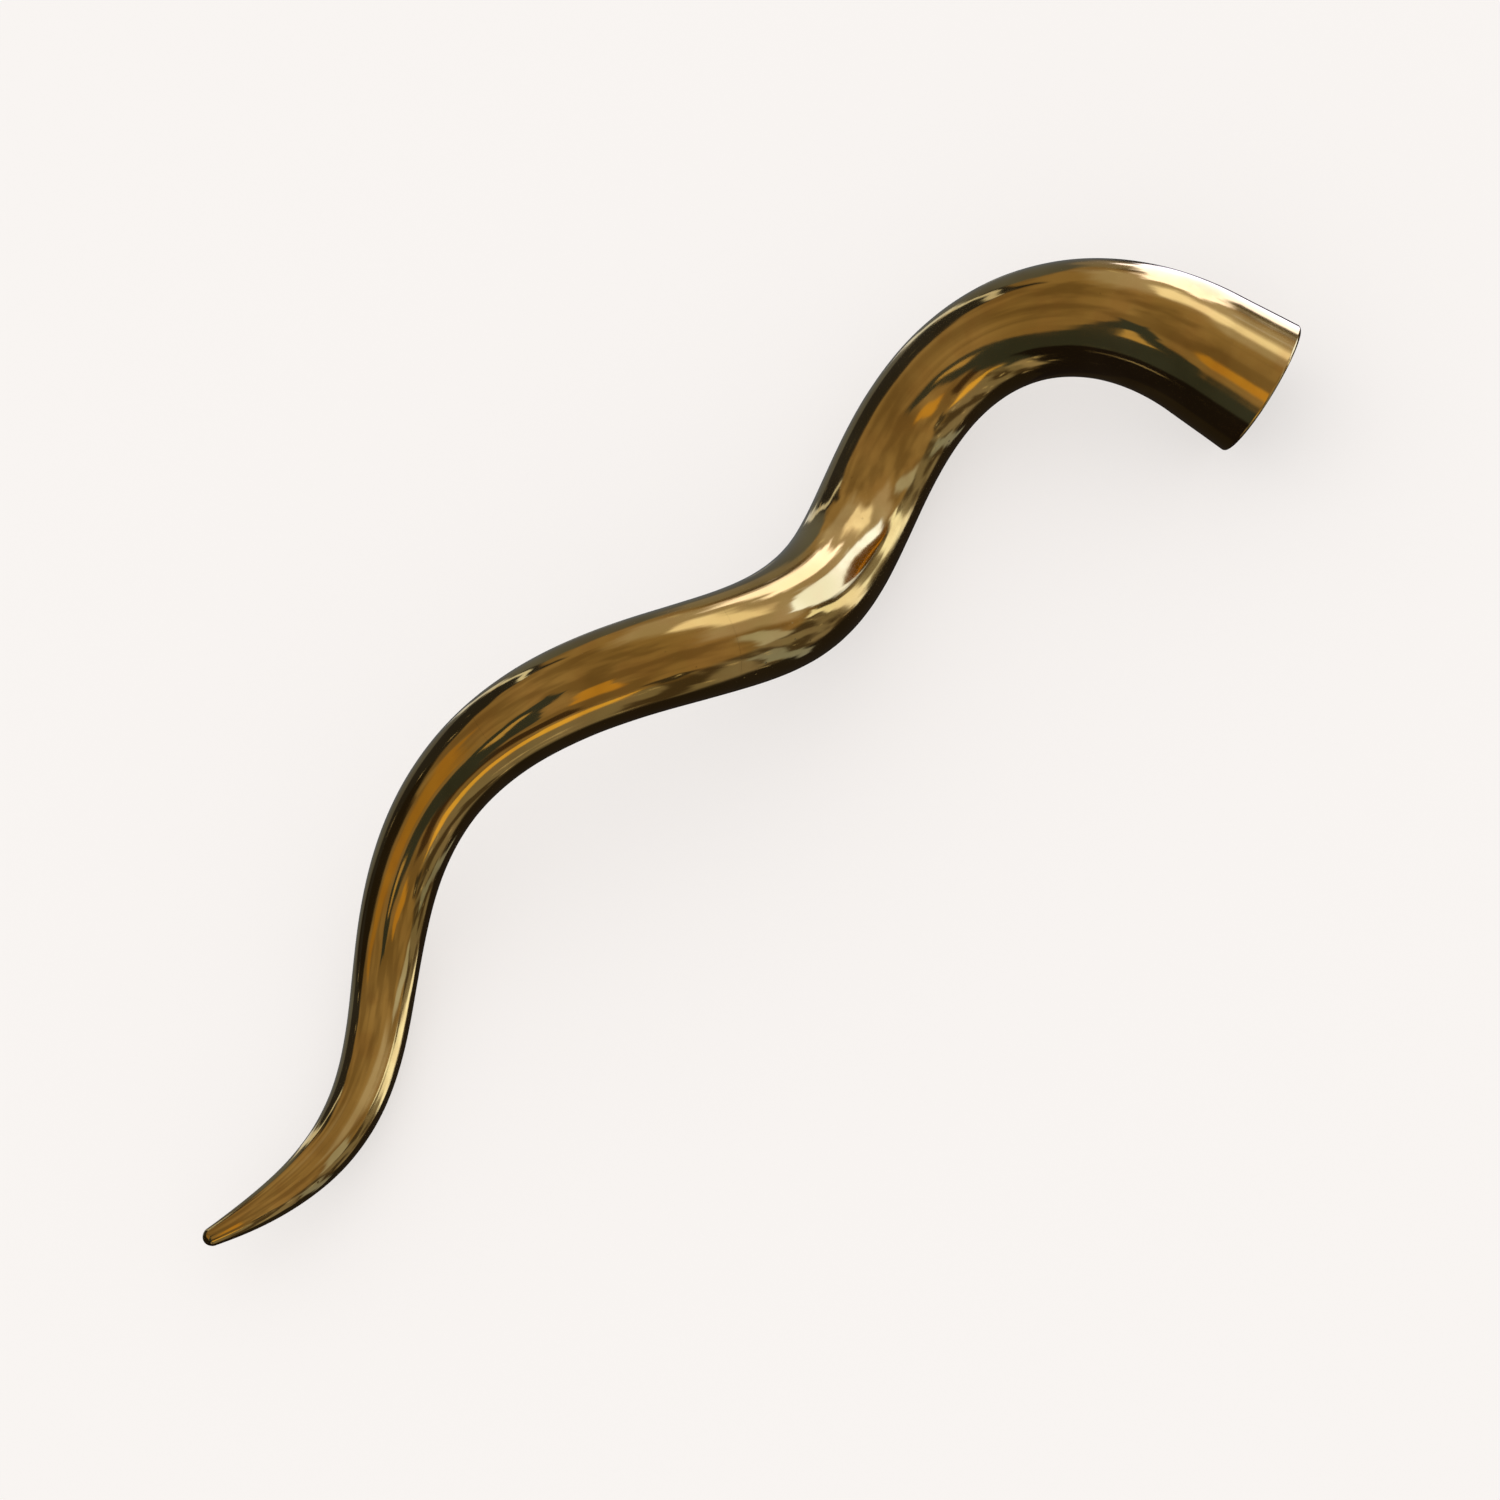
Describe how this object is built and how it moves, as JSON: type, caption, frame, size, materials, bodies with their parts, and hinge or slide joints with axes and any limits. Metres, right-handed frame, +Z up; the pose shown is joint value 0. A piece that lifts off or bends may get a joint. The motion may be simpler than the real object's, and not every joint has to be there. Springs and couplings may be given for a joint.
{
  "type": "spiral brass horn",
  "caption": "Polished brass horn in the form of a spiral shofar: a round hollow taper with an open twist, a wide square-cut bell and a closed tip.",
  "frame": {"origin": "on the surface that the horn lies on, below the middle of its box", "axes": "+Z up, +X from the tip towards the bell, and the bell's mouth faces -Y and a little down"},
  "size_m": [0.6897, 0.3254, 0.1258],
  "materials": {
    "polished_brass": "mirror polished",
    "raw_brass": "as cast"
  },
  "bodies": {
    "root": {"tip_casting": "polished_brass", "tail_casting": "polished_brass", "lower_bend_casting": "polished_brass", "lower_leg_casting": "polished_brass", "elbow_casting": "polished_brass", "upper_leg_casting": "polished_brass", "arch_casting": "polished_brass", "bell_casting": "polished_brass", "tail_sleeve": "raw_brass", "lower_bend_sleeve": "raw_brass", "lower_leg_sleeve": "raw_brass", "elbow_sleeve": "raw_brass", "upper_leg_sleeve": "raw_brass", "bell_sleeve": "raw_brass"}
  },
  "joints": []
}
